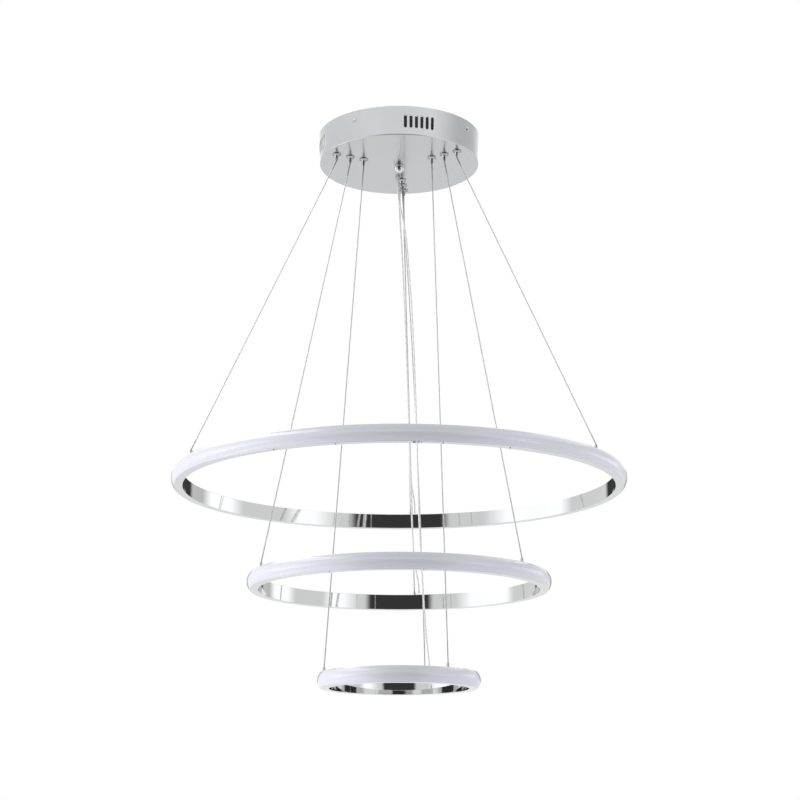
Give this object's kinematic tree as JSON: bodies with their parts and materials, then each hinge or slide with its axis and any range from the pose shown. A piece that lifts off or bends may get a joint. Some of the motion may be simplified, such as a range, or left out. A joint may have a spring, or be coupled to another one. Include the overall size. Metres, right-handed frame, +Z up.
{
  "type": "ring pendant light",
  "caption": "Round ceiling canopy with level light rings of stepped size, hung one below another on thin steel wires with adjustable grips.",
  "frame": {"origin": "centre of the ceiling face, where the canopy and its bracket meet the ceiling", "axes": "+Z up into the ceiling, -Y the front seen in the picture, +X to its right"},
  "size_m": [0.6, 0.6, 0.7598],
  "materials": {
    "chrome_pan": "mirror polished",
    "chrome_fittings": "mirror polished",
    "zinc_steel": "zinc plated",
    "wire_steel": "fine stranded",
    "mirror_profile": "mirror polished and plated",
    "opal_cover": "opal, satin gloss",
    "led_tape": "white board with yellow chips",
    "clear_cord": "clear sheath over pale cores",
    "white_plastic": "moulded",
    "black_plastic": "moulded"
  },
  "bodies": {
    "canopy": {"canopy_shell": "chrome_pan", "mounting_bracket": "zinc_steel", "centre_stud": "zinc_steel", "cap_nut_and_side_screws": "chrome_fittings", "driver_case": "black_plastic", "driver_cover": "black_plastic", "terminal_block": "white_plastic", "cord_glands": "white_plastic", "wire_grips": "chrome_fittings", "grip_nuts": "zinc_steel", "wire_tails": "wire_steel", "wire_large_left": "wire_steel", "wire_large_right": "wire_steel", "wire_large_far": "wire_steel", "cord_large": "clear_cord", "wire_middle_left": "wire_steel", "wire_middle_right": "wire_steel", "wire_middle_far": "wire_steel", "cord_middle": "clear_cord", "wire_small_left": "wire_steel", "wire_small_right": "wire_steel", "wire_small_far": "wire_steel", "cord_small": "clear_cord"},
    "large_ring": {"large_profile": "mirror_profile", "large_diffuser": "opal_cover", "large_led_strip": "led_tape", "large_top_fittings": "chrome_fittings"},
    "release_large_left": {"plunger_large_left": "chrome_fittings"},
    "release_large_right": {"plunger_large_right": "chrome_fittings"},
    "release_large_far": {"plunger_large_far": "chrome_fittings"},
    "middle_ring": {"middle_profile": "mirror_profile", "middle_diffuser": "opal_cover", "middle_led_strip": "led_tape", "middle_top_fittings": "chrome_fittings"},
    "release_middle_left": {"plunger_middle_left": "chrome_fittings"},
    "release_middle_right": {"plunger_middle_right": "chrome_fittings"},
    "release_middle_far": {"plunger_middle_far": "chrome_fittings"},
    "small_ring": {"small_profile": "mirror_profile", "small_diffuser": "opal_cover", "small_led_strip": "led_tape", "small_top_fittings": "chrome_fittings"},
    "release_small_left": {"plunger_small_left": "chrome_fittings"},
    "release_small_right": {"plunger_small_right": "chrome_fittings"},
    "release_small_far": {"plunger_small_far": "chrome_fittings"}
  },
  "joints": [
    {"name": "large_height", "type": "slide", "parent": "canopy", "child": "large_ring", "axis": [0, 0, 1], "range_m": [0, 0.28], "deforming": ["wire_large_left", "wire_large_right", "wire_large_far", "cord_large"]},
    {"name": "middle_height", "type": "slide", "parent": "canopy", "child": "middle_ring", "axis": [0, 0, 1], "range_m": [0, 0.28], "deforming": ["wire_middle_left", "wire_middle_right", "wire_middle_far", "cord_middle"]},
    {"name": "small_height", "type": "slide", "parent": "canopy", "child": "small_ring", "axis": [0, 0, 1], "range_m": [0, 0.4], "deforming": ["wire_small_left", "wire_small_right", "wire_small_far", "cord_small"]},
    {"name": "release_large_left_press", "type": "slide", "parent": "canopy", "child": "release_large_left", "axis": [0, 0, 1], "range_m": [0, 0.0015], "stiffness_N_per_m": 600, "springref_m": -0.002},
    {"name": "release_large_right_press", "type": "slide", "parent": "canopy", "child": "release_large_right", "axis": [0, 0, 1], "range_m": [0, 0.0015], "stiffness_N_per_m": 600, "springref_m": -0.002},
    {"name": "release_large_far_press", "type": "slide", "parent": "canopy", "child": "release_large_far", "axis": [0, 0, 1], "range_m": [0, 0.0015], "stiffness_N_per_m": 600, "springref_m": -0.002},
    {"name": "release_middle_left_press", "type": "slide", "parent": "canopy", "child": "release_middle_left", "axis": [0, 0, 1], "range_m": [0, 0.0015], "stiffness_N_per_m": 600, "springref_m": -0.002},
    {"name": "release_middle_right_press", "type": "slide", "parent": "canopy", "child": "release_middle_right", "axis": [0, 0, 1], "range_m": [0, 0.0015], "stiffness_N_per_m": 600, "springref_m": -0.002},
    {"name": "release_middle_far_press", "type": "slide", "parent": "canopy", "child": "release_middle_far", "axis": [0, 0, 1], "range_m": [0, 0.0015], "stiffness_N_per_m": 600, "springref_m": -0.002},
    {"name": "release_small_left_press", "type": "slide", "parent": "canopy", "child": "release_small_left", "axis": [0, 0, 1], "range_m": [0, 0.0015], "stiffness_N_per_m": 600, "springref_m": -0.002},
    {"name": "release_small_right_press", "type": "slide", "parent": "canopy", "child": "release_small_right", "axis": [0, 0, 1], "range_m": [0, 0.0015], "stiffness_N_per_m": 600, "springref_m": -0.002},
    {"name": "release_small_far_press", "type": "slide", "parent": "canopy", "child": "release_small_far", "axis": [0, 0, 1], "range_m": [0, 0.0015], "stiffness_N_per_m": 600, "springref_m": -0.002}
  ]
}
